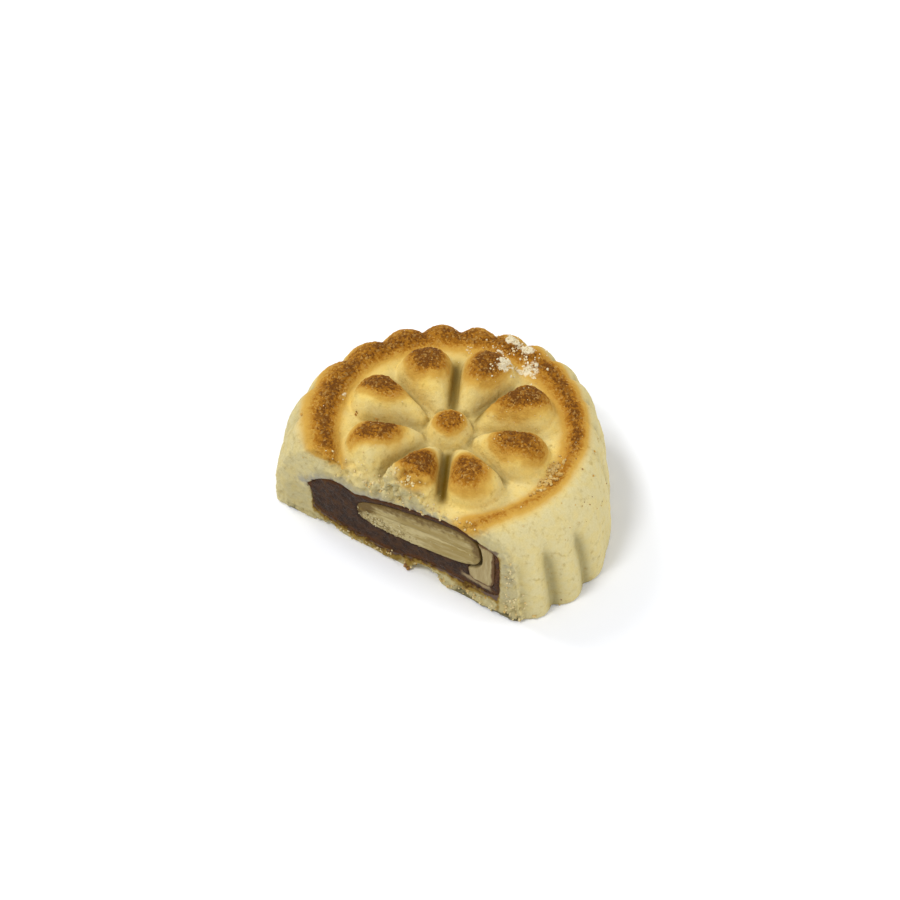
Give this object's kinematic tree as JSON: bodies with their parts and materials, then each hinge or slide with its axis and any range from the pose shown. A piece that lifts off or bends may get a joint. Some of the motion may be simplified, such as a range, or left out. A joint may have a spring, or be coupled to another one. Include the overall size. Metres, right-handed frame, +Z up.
{
  "type": "maamoul",
  "caption": "Round mould-pressed date-filled biscuit with a flower of petals on its fluted, browned top; a slice is cut off and shows date paste and almonds.",
  "frame": {"origin": "on the axis of the pressed round, at the flat base it rests on", "axes": "+Z up along the axis of the round, +X to the right along the cut, so that the cut face looks along -Y"},
  "size_m": [0.0497, 0.0375, 0.0185],
  "materials": {
    "baked_dough": "matt and crumbly, browned on the petals, the button and the raised ring",
    "date_paste": "dark, slightly moist paste",
    "almond": "cut, satin"
  },
  "bodies": {
    "root": {"dough": "baked_dough", "date_filling": "date_paste", "almond": "almond", "almond_piece": "almond"}
  },
  "joints": []
}
